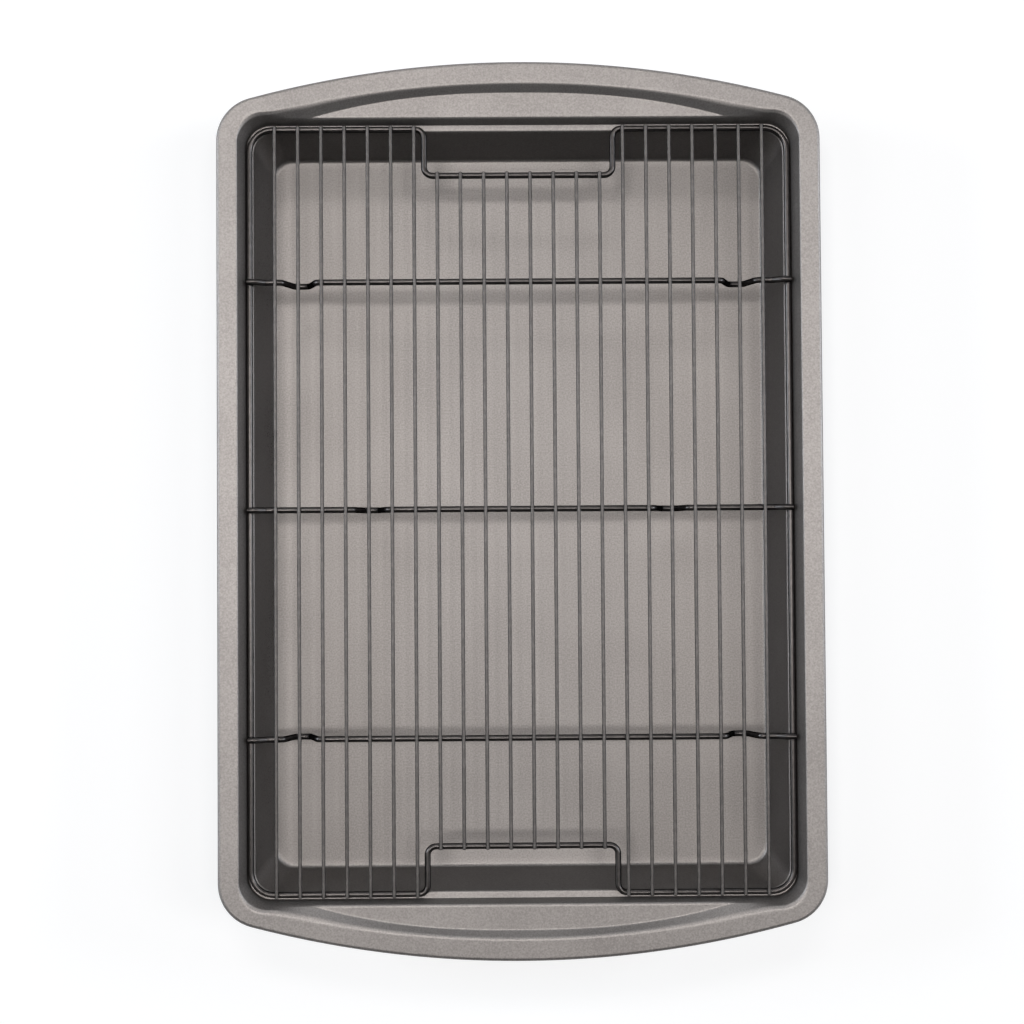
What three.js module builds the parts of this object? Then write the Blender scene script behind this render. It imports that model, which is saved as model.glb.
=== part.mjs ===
// A baking and roasting pan pressed from one steel sheet, with a lift-out wire rack.
// The pan has a flat rim that swells into an arched handle at each end, a sunk crescent in each handle,
// and a narrow ledge round its wall. The rack is a bent wire frame with three cross bars that dip into
// short legs, and thin rods welded on top. Its frame lies on the ledge, so it lifts straight out.
// Millimetres, +Z up, X across the pan, Y along it. The origin is the middle of the pan's base.

import * as THREE from 'three';

// Pan: sheet, depth and the opening at the rim
const sheet = 0.8;
const depth = 50;
const openingWidth = 266.8;
const openingLength = 375.4;
const openingCorner = 13;

// Pan: the wall, from the rim down to the floor
const ledgeDrop = 10.5;
const upperWallRun = 3;
const ledgeWidth = 3.4;
const wallRun = 3.8;
const wallCorner = 10;
const floorFillet = 3;
const ledgeRootFillet = 0.5;
const ledgeBend = 0.3;
const rimBend = 0.4;

// Pan: the arched handles and their sunk crescents
const archRise = 13.9;
const archEndInset = 4;
const crescentDrop = 4;
const crescentSlopeRun = 3.1;
const crescentTipInset = 21;

// Pan: the flat rim and its rolled edge
const sideRim = 9.9;
const endRim = 10.7;
const rimCorner = 21;
const curlBore = 1.6;
const curlTurn = THREE.MathUtils.degToRad(225);

// Rack: wires and how the frame sits in the pan
const frameWire = 2.9;
const barWire = 2.9;
const rodWire = 1.7;
const sideClearance = 0.2;
const endClearance = 1;
const seatGap = 0.1;
const weldGap = 0.05;

// Rack: the frame and the grab recess at each end
const frameCornerEase = 0.9;
const recessWidth = 90.4;
const recessDepth = 22.4;
const recessBend = 2.7;

// Rack: cross bars, their ends over the side rails, and their legs
const barFromEnd = 73.4;
const barBend = 1.6;
const joggleStart = 3;
const joggleRun = 4.5;
const legDrop = 11.8;
const legSlant = 4.6;
const legFlat = 3;
const outerLegStraight = 4.8;
const middleLegStraight = 38.4;

// Rack: the short rods between the sides of the recess, and the long rods beside it
const shortRodCount = 8;
const shortRodGap = 6.4;
const longRodCount = 7;
const longRodGap = 4.7;
const outerRodInset = 12.3;

// Facets
const cornerSteps = 5;
const crescentSteps = 6;
const filletSteps = 2;
const curlSteps = 5;
const bendSteps = 4;
const wireSides = 8;

// Places worked out from the driving dimensions
const rimZ = sheet + depth;
const ledgeZ = rimZ - ledgeDrop;
const crescentZ = rimZ - crescentDrop;
const halfOpening = openingWidth / 2;
const halfLength = openingLength / 2;
const straightHalfEnd = halfOpening - openingCorner;
const archHalfChord = straightHalfEnd - archEndInset;
const archRadius = (archHalfChord ** 2 + archRise ** 2) / (2 * archRise);
const tipShare = (straightHalfEnd - crescentTipInset) / straightHalfEnd;
const ledgeRound = ledgeBend + sheet;
const rimRound = rimBend + sheet;
const wallTop = rimZ - rimRound;
const railX = halfOpening - upperWallRun - sideClearance - frameWire / 2;
const railY = halfLength - upperWallRun - endClearance - frameWire / 2;
const railZ = ledgeZ + seatGap + frameWire / 2;
const recessX = recessWidth / 2;
const recessY = railY - recessDepth;
const frameCorner = cornerRadius(upperWallRun) - sideClearance - frameWire / 2 + frameCornerEase;
const recessBendRadius = recessBend + frameWire / 2;
const railTop = railZ + frameWire / 2;
const barBendRadius = barBend + barWire / 2;
const barZ = railTop - barWire / 2;
const barOverZ = railTop + weldGap + barWire / 2;
const rodZ = railTop + weldGap + rodWire / 2;

const up = new THREE.Vector3(0, 0, 1);
const along = new THREE.Vector3(0, 1, 0);

// Unit vector from one point to another.
function heading(from, to) {
  return to.clone().sub(from).normalize();
}

// Rounds the corners of a route of points: each takes an arc of its own radius, and open ends stay.
function bendCorners(corners, radii, steps, closed = false) {
  const route = [];
  corners.forEach((corner, i) => {
    const isEnd = !closed && (i === 0 || i === corners.length - 1);
    if (isEnd) {
      route.push(corner.clone());
      return;
    }
    const back = heading(corner, corners.at(i - 1));
    const ahead = heading(corner, corners[(i + 1) % corners.length]);
    const half = back.angleTo(ahead) / 2;
    const turn = Math.PI - 2 * half;
    const toCentre = back.clone().add(ahead).setLength(radii[i] / Math.sin(half));
    const centre = corner.clone().add(toCentre);
    const tangentLength = radii[i] / Math.tan(half);
    const start = back.multiplyScalar(tangentLength).sub(toCentre);
    const end = ahead.multiplyScalar(tangentLength).sub(toCentre);
    for (let k = 0; k <= steps; k += 1) {
      const spoke = start.clone().multiplyScalar(Math.sin(turn * (1 - k / steps)));
      spoke.addScaledVector(end, Math.sin((turn * k) / steps)).divideScalar(Math.sin(turn));
      route.push(spoke.add(centre));
    }
  });
  return route;
}

// Skins a row of rings that all have the same number of points. An open row gets a fan at each end.
function loft(rings, closed = false) {
  const count = rings[0].length;
  const vertices = rings.flat();
  const faces = [];
  const bands = closed ? rings.length : rings.length - 1;
  for (let j = 0; j < bands; j += 1) {
    const here = j * count;
    const there = ((j + 1) % rings.length) * count;
    for (let i = 0; i < count; i += 1) {
      const next = (i + 1) % count;
      faces.push(here + i, there + i, there + next, here + i, there + next, here + next);
    }
  }
  if (!closed) {
    const first = vertices.length;
    const last = first + 1;
    const lastRing = (rings.length - 1) * count;
    for (const ring of [rings[0], rings.at(-1)]) {
      const middle = ring.reduce((sum, point) => sum.add(point), new THREE.Vector3());
      vertices.push(middle.divideScalar(count));
    }
    for (let i = 0; i < count; i += 1) {
      const next = (i + 1) % count;
      faces.push(first, i, next, last, lastRing + next, lastRing + i);
    }
  }
  const geometry = new THREE.BufferGeometry().setFromPoints(vertices);
  geometry.setIndex(faces);
  geometry.computeVertexNormals();
  return geometry;
}

// Sweeps a round wire along a route that lies in the plane square to `across`.
// The section is a polygon whose flats touch the true circle.
function sweepWire(route, across, diameter, closed = false) {
  const reach = diameter / 2 / Math.cos(Math.PI / wireSides);
  const last = route.length - 1;
  const rings = route.map((point, i) => {
    const starts = !closed && i === 0;
    const ends = !closed && i === last;
    const after = ends ? heading(route[i - 1], point) : heading(point, route[(i + 1) % route.length]);
    const before = starts ? after : heading(route.at(i - 1), point);
    const tangent = before.clone().add(after).normalize();
    const side = tangent.clone().cross(across).divideScalar(tangent.dot(after));
    return Array.from({ length: wireSides }, (_, k) => {
      const angle = ((k + 0.5) * 2 * Math.PI) / wireSides;
      const spoke = side.clone().multiplyScalar(reach * Math.cos(angle));
      return spoke.addScaledVector(across, reach * Math.sin(angle)).add(point);
    });
  });
  return loft(rings, closed);
}

// Corner radius of the wall where it stands `inset` inside the opening.
function cornerRadius(inset) {
  const share = THREE.MathUtils.clamp(inset / (upperWallRun + ledgeWidth), 0, 1);
  return THREE.MathUtils.lerp(openingCorner, wallCorner, share);
}

// Shares of the straight half end, from the corner to the middle, at which the pan's rings have points.
function endShares() {
  const shares = [(1 + tipShare) / 2];
  for (let k = crescentSteps; k >= 0; k -= 1) {
    shares.push((tipShare * k) / crescentSteps);
  }
  return shares;
}

// A whole ring from its quarter, which runs from the +X side to the middle of the +Y end.
function mirrorQuarter(quarter) {
  const back = quarter.slice(0, -1).reverse();
  const flip = (points, x, y) => points.map((p) => new THREE.Vector3(p.x * x, p.y * y, p.z));
  const backHalf = [...quarter, ...flip(back, -1, 1)];
  return [...backHalf, ...flip(backHalf, -1, -1)];
}

// A ring inside the opening: a rounded rectangle set in by `inset`, at height `z`.
// `endShape` may give the straight ends another reach and height for each share of their half length.
function wallRing(inset, z, endShape = () => ({ reach: halfLength - inset, z })) {
  const corner = cornerRadius(inset);
  const middleX = halfOpening - inset - corner;
  const middleY = halfLength - inset - corner;
  const quarter = [];
  for (let k = 0; k <= cornerSteps; k += 1) {
    const angle = ((Math.PI / 2) * k) / cornerSteps;
    const x = middleX + corner * Math.cos(angle);
    quarter.push(new THREE.Vector3(x, middleY + corner * Math.sin(angle), z));
  }
  for (const share of endShares()) {
    const shape = endShape(share);
    quarter.push(new THREE.Vector3(share * middleX, shape.reach, shape.z));
  }
  return mirrorQuarter(quarter);
}

// A ring of the flat rim, set in from its outer edge: straight sides, arched ends, corners tangent to both.
function rimRing(inset, z) {
  const corner = rimCorner - inset;
  const radius = archRadius - inset;
  const archY = halfLength + archRise + endRim - archRadius;
  const cornerX = halfOpening + sideRim - rimCorner;
  const cornerY = archY + Math.sqrt((archRadius - rimCorner) ** 2 - cornerX ** 2);
  const meeting = Math.atan2(cornerY - archY, cornerX);
  const quarter = [];
  for (let k = 0; k <= cornerSteps; k += 1) {
    const angle = (meeting * k) / cornerSteps;
    const x = cornerX + corner * Math.cos(angle);
    quarter.push(new THREE.Vector3(x, cornerY + corner * Math.sin(angle), z));
  }
  for (const share of endShares()) {
    const x = share * radius * Math.cos(meeting);
    quarter.push(new THREE.Vector3(x, archY + Math.sqrt(radius ** 2 - x ** 2), z));
  }
  return mirrorQuarter(quarter);
}

// How far the upper wall stands inside the opening at height z.
function upperWallInset(z) {
  return (upperWallRun * (rimZ - z)) / ledgeDrop;
}

// How far the arched rim edge stands beyond the straight end line, at a share of the half end.
function archLift(share) {
  const x = share * straightHalfEnd;
  return Math.max(Math.sqrt(archRadius ** 2 - x ** 2) - archRadius + archRise, 0);
}

// The handle at each end, as seen at a share of the half end: where the upper wall stops, where the
// crescent's flat meets its slope, and where the slope reaches the rim. Past the crescent's tip there is
// no flat, and the middle point lies part of the way up the slope.
function handleShape(share) {
  const rise = THREE.MathUtils.smoothstep(share, tipShare, 1);
  const footZ = THREE.MathUtils.lerp(crescentZ, wallTop, rise);
  const foot = { reach: halfLength - upperWallInset(footZ), z: footZ };
  const brink = { reach: halfLength + archLift(share) + rimRound / 2, z: rimZ };
  const crownReach = halfLength + archRise - crescentSlopeRun;
  const flatDepth = (crownReach - foot.reach) * (1 - (share / tipShare) ** 2);
  const pastTip = 0.4;
  const bend = share < tipShare
    ? { reach: foot.reach + flatDepth, z: crescentZ }
    : {
      reach: THREE.MathUtils.lerp(foot.reach, brink.reach, pastTip),
      z: THREE.MathUtils.lerp(footZ, rimZ, pastTip),
    };
  return { foot, bend, brink };
}

// The pan's upper skin, as rings from the floor's edge over the wall, ledge and rim and round the curl.
function panSkin() {
  const ledgeInset = upperWallRun + ledgeWidth;
  const floorInset = ledgeInset + wallRun;
  const profile = bendCorners(
    [
      new THREE.Vector3(floorInset + 2 * floorFillet, 0, sheet),
      new THREE.Vector3(floorInset, 0, sheet),
      new THREE.Vector3(ledgeInset, 0, ledgeZ),
      new THREE.Vector3(upperWallRun, 0, ledgeZ),
      new THREE.Vector3(upperWallInset(wallTop), 0, wallTop),
    ],
    [0, floorFillet, ledgeRound, ledgeRootFillet, 0],
    filletSteps,
  );
  const rings = profile.slice(1, -1).map((point) => wallRing(point.x, point.z));
  const brinkMiddle = (upperWallInset(wallTop) - rimRound / 2) / 2;
  rings.push(wallRing(upperWallInset(wallTop), wallTop, (share) => handleShape(share).foot));
  rings.push(wallRing(brinkMiddle, rimZ - rimRound / 2, (share) => handleShape(share).bend));
  rings.push(wallRing(-rimRound / 2, rimZ, (share) => handleShape(share).brink));
  const curl = curlBore / 2 + sheet;
  for (let k = 0; k <= curlSteps; k += 1) {
    const angle = (curlTurn * k) / curlSteps;
    rings.push(rimRing(curl * (1 - Math.sin(angle)), rimZ - curl * (1 - Math.cos(angle))));
  }
  return rings;
}

// The other side of the sheet: every band of the skin moved by the sheet's thickness, square to itself.
function sheetBack(rings) {
  const count = rings[0].length;
  return rings.map((ring, j) => ring.map((point, i) => {
    const before = heading(ring.at(i - 1), point);
    const around = before.add(heading(point, ring[(i + 1) % count])).normalize();
    const facing = (from, to) => heading(from, to).cross(around).normalize();
    const faceBelow = j > 0 ? facing(rings[j - 1][i], point) : up;
    const faceAbove = j < rings.length - 1 ? facing(point, rings[j + 1][i]) : faceBelow;
    const mitre = sheet / (1 + faceBelow.dot(faceAbove));
    return point.clone().addScaledVector(faceBelow, -mitre).addScaledVector(faceAbove, -mitre);
  }));
}

function panGeometry() {
  const skin = panSkin();
  return loft([...skin, ...sheetBack(skin).reverse()]);
}

// The rack's frame: a closed rounded rectangle, stepped inwards at both ends to leave room for fingers.
function frameGeometry() {
  const halfPlan = [
    [railX, -railY, frameCorner],
    [railX, railY, frameCorner],
    [recessX, railY, recessBendRadius],
    [recessX, recessY, recessBendRadius],
    [-recessX, recessY, recessBendRadius],
    [-recessX, railY, recessBendRadius],
  ];
  const plan = [...halfPlan, ...halfPlan.map(([x, y, radius]) => [-x, -y, radius])];
  const corners = plan.map(([x, y]) => new THREE.Vector3(x, y, railZ));
  const radii = plan.map(([, , radius]) => radius);
  return sweepWire(bendCorners(corners, radii, bendSteps, true), up, frameWire, true);
}

// Length of wire that a bar's bend takes up on each side of its corner, for a bend that goes down `drop`
// over a `run`.
function bendReach(drop, run) {
  return barBendRadius * Math.tan(Math.atan2(drop, run) / 2);
}

// A cross bar at y: its ends step up over the side rails, and it dips into a leg on each side,
// after a straight stretch that starts where the step down from the rail ends.
function barGeometry(y, straight) {
  const joggleFoot = railX - joggleStart - joggleRun;
  const legBend = bendReach(legDrop, legSlant);
  const legOuter = joggleFoot - bendReach(barOverZ - barZ, joggleRun) - straight - legBend;
  const footOuter = legOuter - legSlant;
  const footInner = footOuter - legFlat - 2 * legBend;
  const footZ = barZ - legDrop;
  const half = [
    [railX + frameWire / 2, barOverZ],
    [railX - joggleStart, barOverZ],
    [joggleFoot, barZ],
    [legOuter, barZ],
    [footOuter, footZ],
    [footInner, footZ],
    [footInner - legSlant, barZ],
  ];
  const mirrored = half.map(([x, z]) => [-x, z]).reverse();
  const corners = [...half, ...mirrored].map(([x, z]) => new THREE.Vector3(x, y, z));
  const radii = corners.map(() => barBendRadius);
  return sweepWire(bendCorners(corners, radii, bendSteps), along, barWire);
}

// Evenly spaced places from the first to the last.
function spread(first, last, count) {
  return Array.from({ length: count }, (_, i) => THREE.MathUtils.lerp(first, last, i / (count - 1)));
}

// A rod along Y that is welded to end rails at `endY`. Its ends are flush with their outer edges.
function rodGeometry(endY) {
  const reach = rodWire / 2 / Math.cos(Math.PI / wireSides);
  const length = 2 * endY + frameWire;
  return new THREE.CylinderGeometry(reach, reach, length, wireSides, 1, false, Math.PI / wireSides);
}

// Nonstick finishes: a warm grey metallic coat on the pan, a black coat on the rack's wires.
function panCoat() {
  return new THREE.MeshStandardMaterial({ color: 0x9a9490, roughness: 0.5, metalness: 0.6 });
}

function rackCoat() {
  return new THREE.MeshStandardMaterial({ color: 0x232224, roughness: 0.35, metalness: 0.1 });
}

function piece(name, geometry, material) {
  const mesh = new THREE.Mesh(geometry, material);
  mesh.name = name;
  return mesh;
}

const rack = new THREE.Group();
rack.add(piece('rack_frame', frameGeometry(), rackCoat()));

const barY = railY - barFromEnd;
rack.add(piece('cross_bar_back', barGeometry(barY, outerLegStraight), rackCoat()));
rack.add(piece('cross_bar_middle', barGeometry(0, middleLegStraight), rackCoat()));
rack.add(piece('cross_bar_front', barGeometry(-barY, outerLegStraight), rackCoat()));

const shortRods = spread(shortRodGap - recessX, recessX - shortRodGap, shortRodCount);
const longRods = spread(recessX + longRodGap, railX - outerRodInset, longRodCount);
const rodPlaces = [...longRods.map((x) => -x).reverse(), ...shortRods, ...longRods];
rodPlaces.forEach((x, i) => {
  const endY = shortRods.includes(x) ? recessY : railY;
  const rod = piece(`rod_${String(i + 1).padStart(2, '0')}`, rodGeometry(endY), rackCoat());
  rod.position.set(x, 0, rodZ);
  rack.add(rod);
});

const bakingPan = new THREE.Group();
bakingPan.add(piece('pan', panGeometry(), panCoat()));
bakingPan.add(rack);

export default bakingPan;
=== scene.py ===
"""Studio scene of a nonstick baking pan with a lift-out wire rack.

The pan is one pressed sheet: a floor, a wall with a ledge, a flat rim, two arched handles with sunk
crescents, and a rolled edge. The rack is bent and welded wire that lies on the ledge.
Sizes in the classes are millimetres, taken from the frame where it gives them. Meshes are in metres,
with +Z up and +Y along the pan.
"""

import logging
import math
from dataclasses import dataclass
from enum import Enum

import bmesh
import bpy
import numpy as np
from mathutils import Matrix, Vector


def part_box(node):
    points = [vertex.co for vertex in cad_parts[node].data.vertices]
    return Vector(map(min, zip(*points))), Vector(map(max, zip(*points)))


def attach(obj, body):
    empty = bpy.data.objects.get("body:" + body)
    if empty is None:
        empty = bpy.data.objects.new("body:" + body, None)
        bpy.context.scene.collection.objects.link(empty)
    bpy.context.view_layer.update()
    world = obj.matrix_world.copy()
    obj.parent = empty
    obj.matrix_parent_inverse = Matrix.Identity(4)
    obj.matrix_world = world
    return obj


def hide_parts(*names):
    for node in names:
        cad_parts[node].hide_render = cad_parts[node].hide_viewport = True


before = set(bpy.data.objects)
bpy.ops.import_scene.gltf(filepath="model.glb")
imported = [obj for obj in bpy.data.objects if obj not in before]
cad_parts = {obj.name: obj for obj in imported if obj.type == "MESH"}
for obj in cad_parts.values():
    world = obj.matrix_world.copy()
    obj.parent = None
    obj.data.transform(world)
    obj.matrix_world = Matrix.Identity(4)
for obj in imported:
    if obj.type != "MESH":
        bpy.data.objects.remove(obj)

MM = 0.001
IMAGE_SIDE = 1024
SENSOR = 36.0
# Vertices closer together than this become one.
MERGE_MM = 0.0005
# Skin that is this close to the floor's level counts as flat.
LEVEL_MM = 1e-6
# Keeps a division by a length of zero away.
TINY = 1e-12
# Steps of the arcs in a section of the sheet, in the frame's plan and in a bar's bends.
SHEET_STEPS = 8
FRAME_STEPS = 12
BAR_STEPS = 10

log = logging.getLogger("baking_pan")


class Body(Enum):
    """Bodies of the frame that pieces ride on."""

    PAN = "pan"
    RACK = "rack"


class Slot(Enum):
    """Material slots of the record."""

    PAN = "pan_coat"
    RACK = "rack_coat"


class Lane(Enum):
    """Stretch of the pan's outline that a station lies on."""

    SIDE = "side"
    CORNER = "corner"
    END = "end"


# Small helpers for colours, nodes and numbers


def linear(colour: str) -> tuple[float, float, float, float]:
    """Turns an sRGB hex colour into linear values.

    Args:
        colour: six hex digits after a hash sign.

    Returns:
        Red, green, blue and an alpha of 1.
    """
    knee, slope, offset, power = 0.04045, 12.92, 0.055, 2.4
    parts = [int(colour[i:i + 2], 16) / 255 for i in (1, 3, 5)]
    red, green, blue = (p / slope if p <= knee else ((p + offset) / (1 + offset)) ** power
                        for p in parts)
    return red, green, blue, 1.0


def add_node(tree: bpy.types.NodeTree, kind: str, inputs: dict[str | int, object] | None = None,
             **settings: str) -> bpy.types.Node:
    """Adds one shader node, sets it and links it.

    Args:
        tree: node tree that gets the node.
        kind: the node's type name after "ShaderNode".
        inputs: for each input by name or number, a value, or the output socket that feeds it.
        **settings: the node's own options.

    Returns:
        The new node.
    """
    node = tree.nodes.new(f"ShaderNode{kind}")
    for name, value in settings.items():
        setattr(node, name, value)
    for name, value in (inputs or {}).items():
        if isinstance(value, bpy.types.NodeSocket):
            tree.links.new(value, node.inputs[name])
        else:
            node.inputs[name].default_value = value
    return node


def new_material(name: str) -> tuple[bpy.types.Material, bpy.types.NodeTree]:
    """Makes an empty node material.

    Args:
        name: the real material's name.

    Returns:
        The material and its node tree.
    """
    material = bpy.data.materials.new(name)
    material.use_nodes = True
    material.node_tree.nodes.clear()
    return material, material.node_tree


def per_metre(size_mm: float) -> float:
    """Texture scale at which a pattern's features are about this many millimetres wide."""
    return 1 / (size_mm * MM)


def lerp(start: float | np.ndarray, end: float | np.ndarray, share: float) -> float | np.ndarray:
    """Value or point at a share of the way from start to end."""
    return start + (end - start) * share


def smoothstep(low: float, high: float, value: float) -> float:
    """Smooth rise from 0 at low to 1 at high."""
    share = min(max((value - low) / (high - low), 0.0), 1.0)
    return share * share * (3 - 2 * share)


# Mesh helpers


def fillet_route(corners: list[tuple[float, ...]], radii: list[float], steps: int,
                 closed: bool = False) -> np.ndarray:
    """Rounds the corners of a route of points with arcs.

    Args:
        corners: points of the route, all with as many coordinates.
        radii: arc radius at each corner. Open ends stay as they are.
        steps: number of steps in each arc.
        closed: whether the route joins up with itself.

    Returns:
        The rounded route, one row a point.
    """
    points = [np.array(corner, float) for corner in corners]
    route = []
    for i, corner in enumerate(points):
        if not closed and i in (0, len(points) - 1):
            route.append(corner)
            continue
        back = points[i - 1] - corner
        ahead = points[(i + 1) % len(points)] - corner
        back /= np.linalg.norm(back)
        ahead /= np.linalg.norm(ahead)
        half = math.acos(np.clip(back @ ahead, -1, 1)) / 2
        turn = math.pi - 2 * half
        to_centre = (back + ahead) / np.linalg.norm(back + ahead) * radii[i] / math.sin(half)
        start = back * radii[i] / math.tan(half) - to_centre
        end = ahead * radii[i] / math.tan(half) - to_centre
        for k in range(steps + 1):
            spoke = start * math.sin(turn * (1 - k / steps)) + end * math.sin(turn * k / steps)
            route.append(corner + to_centre + spoke / math.sin(turn))
    return np.array(route)


def eased_line(corners: np.ndarray, blends: list[float]) -> np.ndarray:
    """Rounds a line of corners that may lie closer together than their roundings.

    Each point is the mean of the line over a short stretch, so corners that come together merge softly.

    Args:
        corners: points of the line, one row each.
        blends: half length of the rounding at each corner.

    Returns:
        Points of the rounded line, close together round each corner, as many for any corners.
    """
    # Points beside a corner lie at these shares of its rounding, and each is a mean of this many samples.
    spread = (0.3, 0.6, 0.9, 1.3)
    samples = 25
    window = np.linspace(-1, 1, samples)
    legs = np.linalg.norm(np.diff(corners, axis=0), axis=1)
    reach = np.concatenate(([0.0], np.cumsum(legs)))
    stops = [0.0]
    for i, leg in enumerate(legs):
        room = leg / (2 * len(spread) + 1)
        after = [min(blends[i] * s, room * (k + 1)) for k, s in enumerate(spread)]
        before = [min(blends[i + 1] * s, room * (k + 1)) for k, s in enumerate(spread)]
        stops += [reach[i] + d for d in after]
        stops += [reach[i + 1] - d for d in reversed(before)] + [reach[i + 1]]
    widths = np.interp(stops, reach, blends)
    places = np.array(stops)[:, None] + widths[:, None] * window
    lead_in = corners[0] - (corners[1] - corners[0]) / legs[0]
    lead_out = corners[-1] + (corners[-1] - corners[-2]) / legs[-1]
    knots = np.concatenate(([-1.0], reach, [reach[-1] + 1]))
    line = np.vstack((lead_in, corners, lead_out))
    means = [np.interp(places, knots, line[:, axis]).mean(axis=1) for axis in range(3)]
    return np.stack(means, axis=1)


def grid_faces(rows: int, columns: int, wrap_rows: bool,
               wrap_columns: bool = True) -> list[tuple[int, ...]]:
    """Lists the quads of a grid of vertices that is stored row by row.

    Args:
        rows: number of rows.
        columns: vertices in each row.
        wrap_rows: whether the last row joins the first.
        wrap_columns: whether each row joins up with itself.

    Returns:
        Four vertex indices for each quad.
    """
    faces = []
    for j in range(rows if wrap_rows else rows - 1):
        here, there = j * columns, (j + 1) % rows * columns
        for i in range(columns if wrap_columns else columns - 1):
            n = (i + 1) % columns
            faces.append((here + i, here + n, there + n, there + i))
    return faces


def mesh_piece(name: str, points_mm: np.ndarray, faces: list[tuple[int, ...]]) -> bpy.types.Object:
    """Makes a closed, smooth-shaded piece and links it into the scene.

    Args:
        name: the piece's name.
        points_mm: vertices in millimetres.
        faces: vertex indices of each face.

    Returns:
        The new object.
    """
    mesh = bpy.data.meshes.new(name)
    mesh.from_pydata((points_mm * MM).tolist(), [], faces)
    work = bmesh.new()
    work.from_mesh(mesh)
    bmesh.ops.remove_doubles(work, verts=work.verts, dist=MERGE_MM * MM)
    bmesh.ops.recalc_face_normals(work, faces=work.faces)
    work.to_mesh(mesh)
    work.free()
    mesh.shade_smooth()
    piece = bpy.data.objects.new(name, mesh)
    bpy.context.scene.collection.objects.link(piece)
    return piece


def dress(piece: bpy.types.Object, material: bpy.types.Material, body: Body, slot: Slot,
          *nodes: str) -> None:
    """Gives a piece its finish, its body and the solids that it stands for.

    Args:
        piece: the finished piece, in place.
        material: its finish.
        body: body of the frame that it rides on.
        slot: material slot of the record. Not used.
        *nodes: names of the solids that it replaces.
    """
    piece.data.materials.append(material)
    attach(piece, body.value)
    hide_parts(*nodes)
    log.info("%s rides on %s, %d faces", piece.name, body.value, len(piece.data.polygons))


# Finishes


@dataclass(frozen=True)
class PanCoat:
    """Metallic nonstick enamel, sprayed on pressed steel sheet and baked.

    Metal flake in the grey coat gives a satin sheen with a fine grain, bright face on and dark on
    steep walls.
    """

    name: str = "metallic nonstick coat on steel"
    flake: str = "#a4a1a0"
    shade: str = "#8e8b8a"
    # Flakes turn dark seen edge on, under the tinted binder.
    edge: str = "#1c2329"
    metallic: float = 1.0
    roughness: float = 0.52
    # Flakes are about 0.1 mm. They are drawn coarser so that the grain shows in the picture.
    grain_mm: float = 0.8
    # The spray leaves a faint cloudiness over several centimetres.
    cloud_mm: float = 45.0
    cloud_share: float = 0.25
    # Stretch of the pattern over which the coat turns from shade to flake.
    tone_span: tuple[float, float] = (0.35, 0.65)
    # Grit of the sprayed coat, drawn coarser than its real 0.05 mm.
    grit_mm: float = 0.7
    grit_height_mm: float = 0.012
    grit_strength: float = 0.5

    def material(self) -> bpy.types.Material:
        """Builds the coat's node material.

        Returns:
            The material.
        """
        material, tree = new_material(self.name)
        place = add_node(tree, "TexCoord").outputs["Object"]
        noises = []
        for size_mm, detail in ((self.grain_mm, 2.0), (self.cloud_mm, 1.0), (self.grit_mm, 2.0)):
            noise = add_node(tree, "TexNoise", {
                "Vector": place, "Scale": per_metre(size_mm), "Detail": detail})
            noises.append(noise.outputs["Fac"])
        grain, cloud, grit = noises
        mixed = add_node(tree, "Mix", {"Factor": self.cloud_share, "A": grain, "B": cloud})
        tone = add_node(tree, "ValToRGB", {"Fac": mixed.outputs["Result"]})
        stops = zip(tone.color_ramp.elements, self.tone_span, (self.shade, self.flake))
        for stop, position, colour in stops:
            stop.position = position
            stop.color = linear(colour)
        bump = add_node(tree, "Bump", {
            "Strength": self.grit_strength, "Distance": self.grit_height_mm * MM, "Height": grit})
        coat = add_node(tree, "BsdfPrincipled", {
            "Base Color": tone.outputs["Color"], "Metallic": self.metallic, "Roughness": self.roughness,
            "Specular Tint": linear(self.edge), "Normal": bump.outputs["Normal"]}, distribution="GGX")
        add_node(tree, "OutputMaterial", {"Surface": coat.outputs["BSDF"]})
        return material


@dataclass(frozen=True)
class RackCoat:
    """Black nonstick enamel with metal flake, dipped on drawn steel wire and baked.

    It gives a grey streak along the top of each wire, and its sides stay black. All wires wear the same
    coat: the frame and the bars take a darker, glossier copy with sharp glints, and the rods a lighter,
    rougher copy whose lighter tone is painted sheen, so that their streak is soft and even.
    """

    name: str
    coat: str
    worn: str
    roughness: float
    edge: str = "#0c0c0e"
    metallic: float = 1.0
    # Slow ripple of the dipped coat along the wire.
    ripple_mm: float = 2.2
    ripple_height_mm: float = 0.01
    ripple_strength: float = 0.4
    # Stretch of the pattern over which the coat turns from full to worn.
    tone_span: tuple[float, float] = (0.4, 0.7)

    def material(self) -> bpy.types.Material:
        """Builds the coat's node material.

        Returns:
            The material.
        """
        material, tree = new_material(self.name)
        place = add_node(tree, "TexCoord").outputs["Object"]
        noise = add_node(tree, "TexNoise", {
            "Vector": place, "Scale": per_metre(self.ripple_mm), "Detail": 2.0})
        ripple = noise.outputs["Fac"]
        tone = add_node(tree, "ValToRGB", {"Fac": ripple})
        stops = zip(tone.color_ramp.elements, self.tone_span, (self.coat, self.worn))
        for stop, position, colour in stops:
            stop.position = position
            stop.color = linear(colour)
        bump = add_node(tree, "Bump", {
            "Strength": self.ripple_strength, "Distance": self.ripple_height_mm * MM, "Height": ripple})
        coat = add_node(tree, "BsdfPrincipled", {
            "Base Color": tone.outputs["Color"], "Metallic": self.metallic, "Roughness": self.roughness,
            "Specular Tint": linear(self.edge), "Normal": bump.outputs["Normal"]}, distribution="GGX")
        add_node(tree, "OutputMaterial", {"Surface": coat.outputs["BSDF"]})
        return material


# Pan


@dataclass(frozen=True)
class Station:
    """A place on a quarter of the pan's outline, by its lane and its share of that lane.

    Shares run from the middle of the side to the corner, round the corner, and on the end from its middle.
    """

    lane: Lane
    share: float


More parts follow.
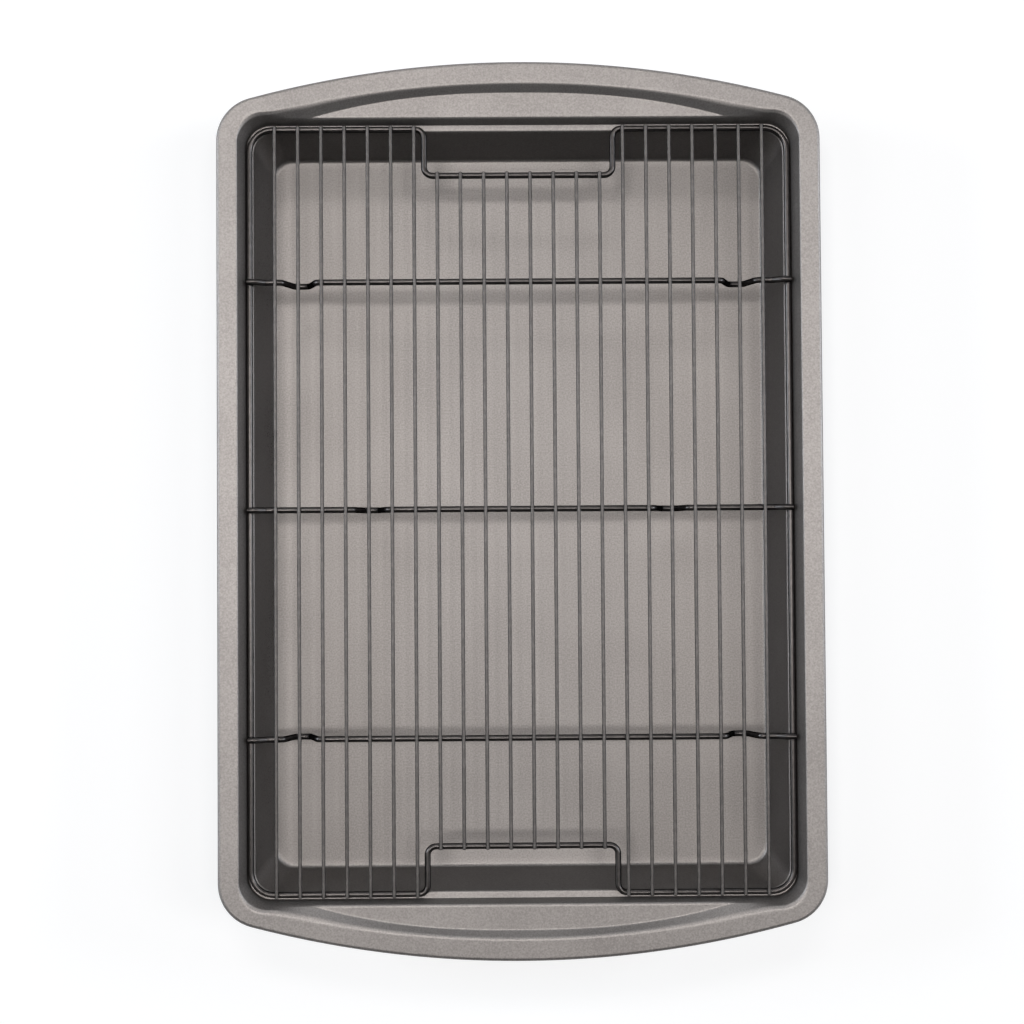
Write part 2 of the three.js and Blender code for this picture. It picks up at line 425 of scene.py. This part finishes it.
@dataclass
class Pan:
    """The pan, pressed from one sheet: floor, wall, ledge, rim, arched handles and rolled edge."""

    sheet: float = 0.8
    side_rim: float = 9.9
    end_rim: float = 10.7
    opening_corner: float = 13.0
    rim_corner: float = 21.0
    curl: float = 1.6
    curl_turn: float = math.radians(225)
    curl_steps: int = 18
    ledge_drop: float = 10.5
    upper_run: float = 3.0
    upper_bow: float = 1.3
    ledge_width: float = 3.4
    wall_run: float = 3.8
    wall_corner: float = 10.0
    floor_fillet: float = 2.0
    # The floor's even steps end this many fillet radii inside the foot of the wall.
    floor_margin: float = 2.5
    floor_steps: int = 5
    ledge_round: float = 1.1
    ledge_root: float = 0.5
    arch_rise: float = 13.9
    arch_inset: float = 4.0
    knee: float = 0.7
    crescent_drop: float = 4.0
    crescent_slope: float = 3.1
    crescent_tip: float = 20.0
    crescent_taper: float = 2.5
    crescent_edge: float = 1.1
    crescent_foot: float = 0.5
    rim_edge: float = 0.6
    arch_edge: float = 1.1
    shoulder_edge: float = 2.4
    # Share of the corner's turn over which the edge softens.
    shoulder_turn: float = 0.8
    # Share of the crescent's height at which its slope starts, just past the tip and at the corner.
    slope_start: tuple[float, float] = (0.1, 0.5)
    finish: PanCoat = PanCoat()

    def __post_init__(self) -> None:
        """Works out the places that follow from the frame and the sizes."""
        _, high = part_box("pan")
        self.half_width, self.half_length, self.rim_z = (v / MM for v in high)
        self.half_opening = self.half_width - self.side_rim
        self.half_end = self.half_length - self.end_rim - self.arch_rise
        self.ledge_z = self.rim_z - self.ledge_drop
        self.wall_z = self.ledge_z + 2 * self.ledge_round
        self.crescent_z = self.rim_z - self.crescent_drop
        straight = self.half_opening - self.opening_corner
        chord = straight - self.arch_inset
        self.arch_radius = (chord ** 2 + self.arch_rise ** 2) / (2 * self.arch_rise)
        self.tip_share = (straight - self.crescent_tip) / straight

    def corner_radius(self, inset: float) -> float:
        """Radius of the wall's corners where it stands this far inside the opening."""
        share = min(max(inset / (self.upper_run + self.ledge_width), 0.0), 1.0)
        return lerp(self.opening_corner, self.wall_corner, share)

    def wall_point(self, at: Station, inset: float, z: float) -> np.ndarray:
        """Point of the rounded rectangle that stands inside the opening.

        Args:
            at: station on the quarter outline.
            inset: distance inside the opening.
            z: height.

        Returns:
            The point.
        """
        corner = self.corner_radius(inset)
        middle_x = self.half_opening - inset - corner
        middle_y = self.half_end - inset - corner
        if at.lane is Lane.SIDE:
            return np.array((middle_x + corner, at.share * middle_y, z))
        if at.lane is Lane.END:
            return np.array((at.share * middle_x, middle_y + corner, z))
        angle = at.share * math.pi / 2
        return np.array((middle_x + corner * math.cos(angle), middle_y + corner * math.sin(angle), z))

    def rim_point(self, at: Station, inset: float, z: float) -> np.ndarray:
        """Point of the rim's outer line: straight sides, arched ends and corners tangent to both.

        Args:
            at: station on the quarter outline.
            inset: distance inside the rim's outer edge.
            z: height.

        Returns:
            The point.
        """
        arch_y = self.half_length - self.arch_radius
        corner_x = self.half_width - self.rim_corner
        corner_y = arch_y + math.sqrt((self.arch_radius - self.rim_corner) ** 2 - corner_x ** 2)
        meeting = math.atan2(corner_y - arch_y, corner_x)
        corner = self.rim_corner - inset
        radius = self.arch_radius - inset
        if at.lane is Lane.SIDE:
            return np.array((corner_x + corner, at.share * corner_y, z))
        if at.lane is Lane.END:
            x = at.share * radius * math.cos(meeting)
            return np.array((x, arch_y + math.sqrt(radius ** 2 - x ** 2), z))
        angle = at.share * meeting
        return np.array((corner_x + corner * math.cos(angle), corner_y + corner * math.sin(angle), z))

    def upper_inset(self, z: float) -> float:
        """How far the upper wall stands inside the opening at a height. It leans more under the rim."""
        return self.upper_run * (1 - ((z - self.ledge_z) / self.ledge_drop) ** self.upper_bow)

    def inner_edge(self, at: Station) -> float:
        """Rounding of the rim's inner edge: crisp on the sides, soft on the corners' shoulders."""
        if at.lane is Lane.END:
            return lerp(self.arch_edge, self.shoulder_edge, at.share ** 2)
        turn = at.share if at.lane is Lane.CORNER else 0.0
        return lerp(self.rim_edge, self.shoulder_edge, smoothstep(0.0, self.shoulder_turn, turn))

    def arch_lift(self, x: float) -> float:
        """How far the rim's inner edge stands beyond the straight end line, with soft knees."""
        arch = math.sqrt(self.arch_radius ** 2 - x ** 2) - self.arch_radius + self.arch_rise
        return (arch + math.hypot(arch, self.knee)) / 2

    def handle_corners(self, at: Station) -> np.ndarray:
        """Corners of the section from the upper wall over the crescent and the rim.

        Args:
            at: station on the quarter outline.

        Returns:
            Upper wall, foot of the crescent, start of its slope, rim's inner edge, start of the curl.
        """
        share = at.share if at.lane is Lane.END else 1.0
        start = self.wall_point(at, self.upper_inset(self.wall_z), self.wall_z)
        foot = self.wall_point(at, self.upper_inset(self.crescent_z), self.crescent_z)
        brink = self.wall_point(at, 0.0, self.rim_z)
        brink[1] += self.arch_lift(brink[0]) if at.lane is not Lane.SIDE else 0.0
        if share < self.tip_share:
            crown = self.half_end + self.arch_rise - self.crescent_slope
            depth = (crown - foot[1]) * (1 - (share / self.tip_share) ** self.crescent_taper)
            bend = foot + (0.0, max(depth, self.crescent_foot / 2), 0.0)
        else:
            part = lerp(*self.slope_start, smoothstep(self.tip_share, 1.0, share))
            bend_z = lerp(self.crescent_z, self.rim_z, part)
            bend = self.wall_point(at, self.upper_inset(bend_z), bend_z)
            bend[1] += part * (brink[1] - self.wall_point(at, 0.0, self.rim_z)[1])
        return np.array((start, foot, bend, brink, self.rim_point(at, self.curl, self.rim_z)))

    def section(self, at: Station) -> np.ndarray:
        """Upper skin of the sheet at a station, from the pan's middle line to the end of the curl.

        Args:
            at: station on the quarter outline.

        Returns:
            Points of the section.
        """
        ledge_inset = self.upper_run + self.ledge_width
        floor_inset = ledge_inset + self.wall_run
        corners = [(floor_inset + self.floor_margin * self.floor_fillet, self.sheet),
                   (floor_inset, self.sheet), (ledge_inset, self.ledge_z),
                   (self.upper_run, self.ledge_z), (self.upper_inset(self.wall_z), self.wall_z)]
        radii = [0, self.floor_fillet, self.ledge_round, self.ledge_root, 0]
        route = fillet_route(corners, radii, SHEET_STEPS)
        lower = np.array([self.wall_point(at, inset, z) for inset, z in route[:-1]])
        spine = np.array((0.0, min(lower[0][1], self.half_end - self.half_opening), self.sheet))
        floor = [lerp(spine, lower[0], k / self.floor_steps) for k in range(self.floor_steps)]
        blends = [self.rim_edge, self.crescent_edge, self.crescent_foot,
                  self.inner_edge(at), self.rim_edge]
        upper = eased_line(self.handle_corners(at), blends)
        curl = []
        for angle in np.linspace(0, self.curl_turn, self.curl_steps + 1)[1:]:
            drop = self.curl * (1 - math.cos(angle))
            curl.append(self.rim_point(at, self.curl * (1 - math.sin(angle)), self.rim_z - drop))
        return np.vstack((floor, lower, upper, curl))

    def stations(self) -> list[Station]:
        """Lists the stations of a quarter, from the middle of the side to the middle of the end.

        Returns:
            The stations in order.
        """
        sides, corners, tips, middles = 8, 18, 24, 20
        # The crescent's tip and the arch's knee lie on the outer quarter of the end, which has more.
        inner = 0.75
        ends = [1 - (1 - inner) * k / tips for k in range(1, tips + 1)]
        ends += [inner * (1 - k / middles) for k in range(1, middles + 1)]
        return ([Station(Lane.SIDE, k / sides) for k in range(sides + 1)]
                + [Station(Lane.CORNER, k / corners) for k in range(1, corners + 1)]
                + [Station(Lane.END, share) for share in ends])

    def build(self) -> bpy.types.Object:
        """Builds the pan's sheet with both its sides and its cut edge.

        Returns:
            The pan's piece.
        """
        quarter = np.array([self.section(at) for at in self.stations()])
        back = quarter[-2::-1] * (-1, 1, 1)
        half = np.concatenate((quarter, back))
        skin = np.concatenate((half, half[1:-1] * (-1, -1, 1)))
        around = np.roll(skin, -1, axis=0) - np.roll(skin, 1, axis=0)
        along = np.gradient(skin, axis=1)
        normal = np.cross(along, around)
        lengths = np.linalg.norm(normal, axis=2, keepdims=True)
        upright = np.zeros_like(normal) + (0, 0, 1)
        flat = np.abs(skin[:, :, 2:] - self.sheet) < LEVEL_MM
        normal = np.where(flat, upright, normal / np.maximum(lengths, TINY))
        under = skin - normal * self.sheet
        columns = skin.shape[1]
        closed = np.concatenate((skin, under[:, ::-1]), axis=1)
        faces = grid_faces(closed.shape[0], 2 * columns, wrap_rows=True, wrap_columns=False)
        piece = mesh_piece("pan_sheet", closed.reshape(-1, 3), faces)
        dress(piece, self.finish.material(), Body.PAN, Slot.PAN, "pan")
        return piece


# Rack


@dataclass(frozen=True)
class Wire:
    """A round wire along a route that lies in one plane."""

    diameter: float
    sides: int = 20
    # Depth of an end's dome as a share of the radius, and the turns at which it has rings.
    dome_depth: float = 0.45
    dome_turns: tuple[float, ...] = (0, 20, 40, 60, 75, 84)

    def sweep(self, route: np.ndarray, across: tuple[float, float, float],
              closed: bool) -> tuple[np.ndarray, list[tuple[int, ...]]]:
        """Sweeps the wire along a route. Open ends are domed a little, as cut and coated wire is.

        Args:
            route: points of the centre line.
            across: unit vector square to the route's plane.
            closed: whether the route joins up with itself.

        Returns:
            Vertices and faces.
        """
        upright = np.array(across, float)
        radius = self.diameter / 2
        if closed:
            ahead = np.roll(route, -1, axis=0) - route
            ahead /= np.linalg.norm(ahead, axis=1, keepdims=True)
            behind = np.roll(ahead, 1, axis=0)
        else:
            step = np.diff(route, axis=0)
            step /= np.linalg.norm(step, axis=1, keepdims=True)
            ahead = np.vstack((step, step[-1:]))
            behind = np.vstack((step[:1], step))
        tangent = ahead + behind
        tangent /= np.linalg.norm(tangent, axis=1, keepdims=True)
        stretch = np.sum(tangent * ahead, axis=1, keepdims=True)
        side = np.cross(tangent, upright) / stretch
        angles = np.arange(self.sides) * 2 * math.pi / self.sides
        ring = side[:, None] * np.cos(angles)[None, :, None] + upright * np.sin(angles)[None, :, None]
        rings = route[:, None] + ring * radius
        if closed:
            return rings.reshape(-1, 3), grid_faces(len(route), self.sides, wrap_rows=True)
        start = self.dome(route[0], ring[0], -tangent[0])[::-1]
        end = self.dome(route[-1], ring[-1], tangent[-1])
        rings = np.concatenate((start, rings[1:-1], end))
        faces = grid_faces(len(rings), self.sides, wrap_rows=False)
        last = (len(rings) - 1) * self.sides
        faces.append(tuple(range(self.sides)))
        faces.append(tuple(last + i for i in range(self.sides)))
        return rings.reshape(-1, 3), faces

    def dome(self, tip: np.ndarray, ring: np.ndarray, outward: np.ndarray) -> np.ndarray:
        """Rings that round off a wire's end.

        Args:
            tip: where the wire ends.
            ring: unit spokes of the end's section.
            outward: unit vector out of the end.

        Returns:
            Rings from the wire's full section to a small flat at its tip.
        """
        radius = self.diameter / 2
        depth = self.dome_depth * radius
        rings = []
        for angle in np.radians(self.dome_turns):
            level = tip - outward * depth * (1 - math.sin(angle))
            rings.append(level + ring * radius * math.cos(angle))
        return np.array(rings)


@dataclass
class Rack:
    """The wire rack: a bent frame, three cross bars with legs, and the rods on top."""

    recess_width: float = 90.4
    recess_depth: float = 22.4
    recess_bend: float = 4.15
    frame_corner: float = 10.84
    bar_bend: float = 3.05
    joggle_start: float = 3.0
    joggle_run: float = 4.5
    leg_slant: float = 4.6
    leg_flat: float = 3.0
    outer_leg_straight: float = 4.8
    middle_leg_straight: float = 38.4
    rod_count: int = 22
    rod_sides: int = 16
    weld_length: float = 1.7
    weld_steps: int = 8
    weld_sink: float = 0.3
    weld_flare: float = 0.25
    # Height on the rod, as a share of its radius, below which a weld flares.
    weld_top: float = 0.3
    thick_finish: RackCoat = RackCoat("gloss black nonstick coat on steel wire", "#504e4e", "#595757",
                                      roughness=0.32)
    # The rods' copy of the coat is drawn lighter than the frame's and the bars' as painted sheen.
    rod_painted_sheen_finish: RackCoat = RackCoat("satin black nonstick coat on steel wire with painted sheen", "#5f5d5c", "#6d6a69",
                                    roughness=0.5)

    def __post_init__(self) -> None:
        """Works out where the wires lie from the frame."""
        low, high = (np.array(corner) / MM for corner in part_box("rack_frame"))
        self.frame_wire = Wire(high[2] - low[2])
        self.rail_x, self.rail_y = high[:2] - self.frame_wire.diameter / 2
        self.rail_z = (low[2] + high[2]) / 2
        self.recess_y = self.rail_y - self.recess_depth
        self.thick_coat = self.thick_finish.material()
        self.rod_coat = self.rod_painted_sheen_finish.material()

    def build_frame(self) -> bpy.types.Object:
        """Bends the closed frame with its two grab recesses.

        Returns:
            The frame's piece.
        """
        recess_x = self.recess_width / 2
        half = [(self.rail_x, -self.rail_y, self.frame_corner),
                (self.rail_x, self.rail_y, self.frame_corner),
                (recess_x, self.rail_y, self.recess_bend), (recess_x, self.recess_y, self.recess_bend),
                (-recess_x, self.recess_y, self.recess_bend), (-recess_x, self.rail_y, self.recess_bend)]
        plan = half + [(-x, -y, radius) for x, y, radius in half]
        corners = [(x, y, self.rail_z) for x, y, _ in plan]
        route = fillet_route(corners, [radius for _, _, radius in plan], FRAME_STEPS, closed=True)
        piece = mesh_piece("rack_frame_wire", *self.frame_wire.sweep(route, (0, 0, 1), closed=True))
        dress(piece, self.thick_coat, Body.RACK, Slot.RACK, "rack_frame")
        return piece

    def build_bar(self, node: str, straight: float) -> bpy.types.Object:
        """Bends one cross bar: ends over the side rails, and a dip into a leg on each side.

        Args:
            node: the bar's solid in the frame.
            straight: length between the step at the rail and the bend of the leg.

        Returns:
            The bar's piece.
        """
        low, high = (np.array(corner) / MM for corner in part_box(node))
        wire = Wire(high[1] - low[1])
        radius = wire.diameter / 2
        y = (low[1] + high[1]) / 2
        over_z, foot_z = high[2] - radius, low[2] + radius
        bar_z = self.rail_z + (self.frame_wire.diameter - wire.diameter) / 2
        leg_bend = self.bar_bend * math.tan(math.atan2(bar_z - foot_z, self.leg_slant) / 2)
        step_bend = self.bar_bend * math.tan(math.atan2(over_z - bar_z, self.joggle_run) / 2)
        joggle_foot = self.rail_x - self.joggle_start - self.joggle_run
        leg_outer = joggle_foot - step_bend - straight - leg_bend
        foot_outer = leg_outer - self.leg_slant
        foot_inner = foot_outer - self.leg_flat - 2 * leg_bend
        half = [(high[0], over_z), (self.rail_x - self.joggle_start, over_z), (joggle_foot, bar_z),
                (leg_outer, bar_z), (foot_outer, foot_z), (foot_inner, foot_z),
                (foot_inner - self.leg_slant, bar_z)]
        line = half + [(-x, z) for x, z in reversed(half)]
        route = fillet_route([(x, y, z) for x, z in line], [self.bar_bend] * len(line), BAR_STEPS)
        piece = mesh_piece(f"{node}_wire", *wire.sweep(route, (0, 1, 0), closed=False))
        dress(piece, self.thick_coat, Body.RACK, Slot.RACK, node)
        return piece

    def build_rod(self, node: str, crossings: list[float]) -> bpy.types.Object:
        """Makes one rod, which swells into a weld where it lies on a rail or a bar.

        Args:
            node: the rod's solid in the frame.
            crossings: places along Y where the rod lies on another wire.

        Returns:
            The rod's piece.
        """
        low, high = (np.array(corner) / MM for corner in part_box(node))
        middle = (low + high) / 2
        wire = Wire(high[2] - low[2], self.rod_sides)
        reach = high[1]
        held = [y for y in crossings if abs(y) < reach]
        spread = np.linspace(-1, 1, self.weld_steps + 1)
        stops = {round(y + d * self.weld_length, 4) for y in held for d in spread}
        # Stops stay clear of the rounded end, which is a little shorter than this.
        stops = sorted({-reach, reach} | {s for s in stops if abs(s) < reach - wire.diameter / 4})
        route = np.array([(middle[0], y, middle[2]) for y in stops])
        points, faces = wire.sweep(route, (0, 0, 1), closed=False)
        spoke = (points - (middle[0], 0, middle[2])) / (wire.diameter / 2)
        for y in held:
            swell = np.clip(1 - ((points[:, 1] - y) / self.weld_length) ** 2, 0, None) ** 2
            below = np.clip(self.weld_top - spoke[:, 2], 0, None)
            points[:, 2] -= self.weld_sink * swell * np.clip(-spoke[:, 2], 0, None)
            points[:, 0] += self.weld_flare * swell * below * spoke[:, 0]
        piece = mesh_piece(f"{node}_wire", points, faces)
        dress(piece, self.rod_coat, Body.RACK, Slot.RACK, node)
        return piece

    def build(self) -> list[bpy.types.Object]:
        """Builds the frame, the bars and the rods.

        Returns:
            The rack's pieces.
        """
        straights = {"cross_bar_back": self.outer_leg_straight,
                     "cross_bar_middle": self.middle_leg_straight,
                     "cross_bar_front": self.outer_leg_straight}
        pieces = [self.build_frame()]
        pieces += [self.build_bar(node, straight) for node, straight in straights.items()]
        bars = [sum(v[1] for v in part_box(node)) / 2 / MM for node in straights]
        crossings = bars + [self.rail_y, -self.rail_y, self.recess_y, -self.recess_y]
        for i in range(self.rod_count):
            node = f"rod_{i + 1:02d}"
            is_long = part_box(node)[1][1] / MM > self.rail_y
            held = [y for y in crossings if not (is_long and abs(y) == self.recess_y)]
            pieces.append(self.build_rod(node, held))
        return pieces


# Studio


@dataclass(frozen=True)
class Lamp:
    """A soft box aimed at the pan.

    Its lean from overhead is in degrees towards +X and +Y. Its distance, its width along X and its depth
    along Y are in metres.
    """

    name: str
    lean: tuple[float, float]
    distance: float
    width: float
    depth: float
    radiance: float
    colour: str = "#fff9f4"

    def build(self) -> bpy.types.Object:
        """Hangs the lamp.

        Returns:
            The lamp's object.
        """
        light = bpy.data.lights.new(self.name, "AREA")
        light.shape = "RECTANGLE"
        light.size, light.size_y = self.width, self.depth
        light.energy = self.radiance * math.pi * self.width * self.depth
        light.color = linear(self.colour)[:3]
        lamp = bpy.data.objects.new(self.name, light)
        lean_x, lean_y = (math.tan(math.radians(angle)) for angle in self.lean)
        lamp.location = Vector((lean_x, lean_y, 1.0)).normalized() * self.distance
        lamp.rotation_euler = Vector((0, 0, 1)).rotation_difference(lamp.location).to_euler()
        lamp.visible_camera = False
        bpy.context.scene.collection.objects.link(lamp)
        return lamp


@dataclass
class Studio:
    """A pale floor, soft light from above, a white surround and the camera over the pan.

    The floor's side and fade are in metres.
    """

    floor_side: float = 12.0
    floor_gap_mm: float = 0.1
    floor_colour: str = "#b1b4b7"
    floor_lift: float = 0.62
    # The paper's own glow rises to white between these distances from the pan's middle.
    floor_fade: tuple[float, float] = (0.5, 2.0)
    surround_colour: str = "#ffffff"
    # The surround's pale band is lower and dimmer in front. It changes between these parts of a unit
    # direction along Y, and its foot and heights are parts along Z.
    front_turn: tuple[float, float] = (-0.7, -0.1)
    front_strength: float = 0.6
    front_height: float = 0.3
    back_height: float = 0.85
    band_foot: float = 0.12
    lamps: tuple[Lamp, ...] = (Lamp("overhead_left_box", (-11, 2.5), 4.0, 0.9, 0.7, 20.0),
                               Lamp("overhead_right_box", (12, 2.5), 4.0, 0.9, 0.7, 12.5),
                               Lamp("left_box", (-36, 2), 4.0, 1.2, 0.7, 4.2),
                               Lamp("right_box", (36, 2), 4.0, 1.4, 0.7, 7.0),
                               Lamp("back_box", (-6, 32), 4.0, 1.2, 0.6, 8.6),
                               Lamp("low_left_box", (-60, 17), 1.6, 0.3, 0.5, 17.0, "#eef6ff"),
                               Lamp("low_right_box", (60, 17), 1.6, 0.3, 0.5, 13.5, "#eef6ff"))
    # The camera's place, its turns in degrees and its focal length in pixels of the picture.
    eye_mm: tuple[float, float, float] = (-9.118, -20.430, 800.8)
    tilt: tuple[float, float, float] = (1.431, -0.369, -0.379)
    focal_px: float = 1592.0

    def showing(self, tree: bpy.types.NodeTree) -> bpy.types.NodeSocket:
        """Adds a switch that is on for the rays that show the background.

        Args:
            tree: node tree that gets the switch.

        Returns:
            A socket that is 1 for camera, glossy and transmission rays, and 0 for others.
        """
        path = add_node(tree, "LightPath").outputs
        seen = add_node(tree, "Math", {0: path["Is Camera Ray"], 1: path["Is Glossy Ray"]},
                        operation="MAXIMUM")
        return add_node(tree, "Math", {0: seen.outputs[0], 1: path["Is Transmission Ray"]},
                        operation="MAXIMUM").outputs[0]

    def build_floor(self) -> bpy.types.Object:
        """Lays the floor: matt white paper that shows white and keeps the pan's shadow.

        Returns:
            The floor's object.
        """
        half = self.floor_side / 2
        mesh = bpy.data.meshes.new("studio_floor")
        level = -self.floor_gap_mm * MM
        corners = [(x * half, y * half, level) for x, y in ((-1, -1), (1, -1), (1, 1), (-1, 1))]
        mesh.from_pydata(corners, [], [(0, 1, 2, 3)])
        floor = bpy.data.objects.new("studio_floor", mesh)
        bpy.context.scene.collection.objects.link(floor)
        material, tree = new_material("white seamless paper")
        paper = add_node(tree, "BsdfDiffuse", {"Color": linear(self.floor_colour)})
        place = add_node(tree, "TexCoord").outputs["Object"]
        reach = add_node(tree, "VectorMath", {0: place}, operation="LENGTH")
        near, far = self.floor_fade
        fade = add_node(tree, "MapRange", {
            "Value": reach.outputs["Value"], "From Min": near, "From Max": far,
            "To Min": self.floor_lift, "To Max": 1.0})
        lift = add_node(tree, "Math", {0: self.showing(tree), 1: fade.outputs["Result"]},
                        operation="MULTIPLY")
        glow = add_node(tree, "Emission", {"Strength": lift.outputs[0]})
        both = add_node(tree, "AddShader", {0: paper.outputs[0], 1: glow.outputs[0]})
        add_node(tree, "OutputMaterial", {"Surface": both.outputs[0]})
        mesh.materials.append(material)
        return floor

    def build_world(self) -> bpy.types.World:
        """Sets the surround: white to the camera, and a pale band at the horizon to glossy rays.

        Returns:
            The world.
        """
        world = bpy.data.worlds.new("studio_surround")
        bpy.context.scene.world = world
        world.use_nodes = True
        tree = world.node_tree
        tree.nodes.clear()
        place = add_node(tree, "TexCoord").outputs["Generated"]
        parts = add_node(tree, "SeparateXYZ", {"Vector": place}).outputs
        turn_start, turn_end = self.front_turn
        turn = {"Value": parts["Y"], "From Min": turn_start, "From Max": turn_end}
        wall = add_node(tree, "MapRange", {**turn, "To Min": self.front_strength, "To Max": 1.0})
        height = add_node(tree, "MapRange", {
            **turn, "To Min": self.front_height, "To Max": self.back_height})
        band = add_node(tree, "MapRange", {
            "Value": parts["Z"], "From Min": self.band_foot, "From Max": height.outputs["Result"],
            "To Min": wall.outputs["Result"], "To Max": 0.0}, interpolation_type="SMOOTHSTEP")
        path = add_node(tree, "LightPath").outputs
        shown = add_node(tree, "Math", {0: self.showing(tree), 1: band.outputs["Result"]},
                         operation="MULTIPLY")
        level = add_node(tree, "Math", {0: path["Is Camera Ray"], 1: shown.outputs[0]},
                         operation="MAXIMUM")
        surround = add_node(tree, "Background", {
            "Color": linear(self.surround_colour), "Strength": level.outputs[0]})
        add_node(tree, "OutputWorld", {"Surface": surround.outputs[0]})
        return world

    def build_camera(self) -> bpy.types.Object:
        """Sets the camera above the pan, as in the photograph.

        Returns:
            The camera.
        """
        data = bpy.data.cameras.new("overhead_camera")
        data.sensor_width = SENSOR
        data.lens = self.focal_px / IMAGE_SIDE * SENSOR
        camera = bpy.data.objects.new("overhead_camera", data)
        x, y, z = (math.radians(angle) for angle in self.tilt)
        turn = Matrix.Rotation(z, 4, "Z") @ Matrix.Rotation(x, 4, "X") @ Matrix.Rotation(y, 4, "Y")
        camera.matrix_world = Matrix.Translation(Vector(self.eye_mm) * MM) @ turn
        bpy.context.scene.collection.objects.link(camera)
        bpy.context.scene.camera = camera
        return camera

    def build(self) -> None:
        """Builds the floor, the surround, the lamps and the camera."""
        bpy.context.scene.view_settings.view_transform = "Standard"
        self.build_camera()
        self.build_floor()
        self.build_world()
        for lamp in self.lamps:
            lamp.build()
        log.info("studio has %d lamps", len(self.lamps))


def main() -> None:
    """Builds the studio, the pan and the rack."""
    logging.basicConfig(level=logging.INFO, format="%(message)s")
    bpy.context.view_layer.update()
    Studio().build()
    Pan().build()
    Rack().build()


if __name__ == "__main__":
    main()
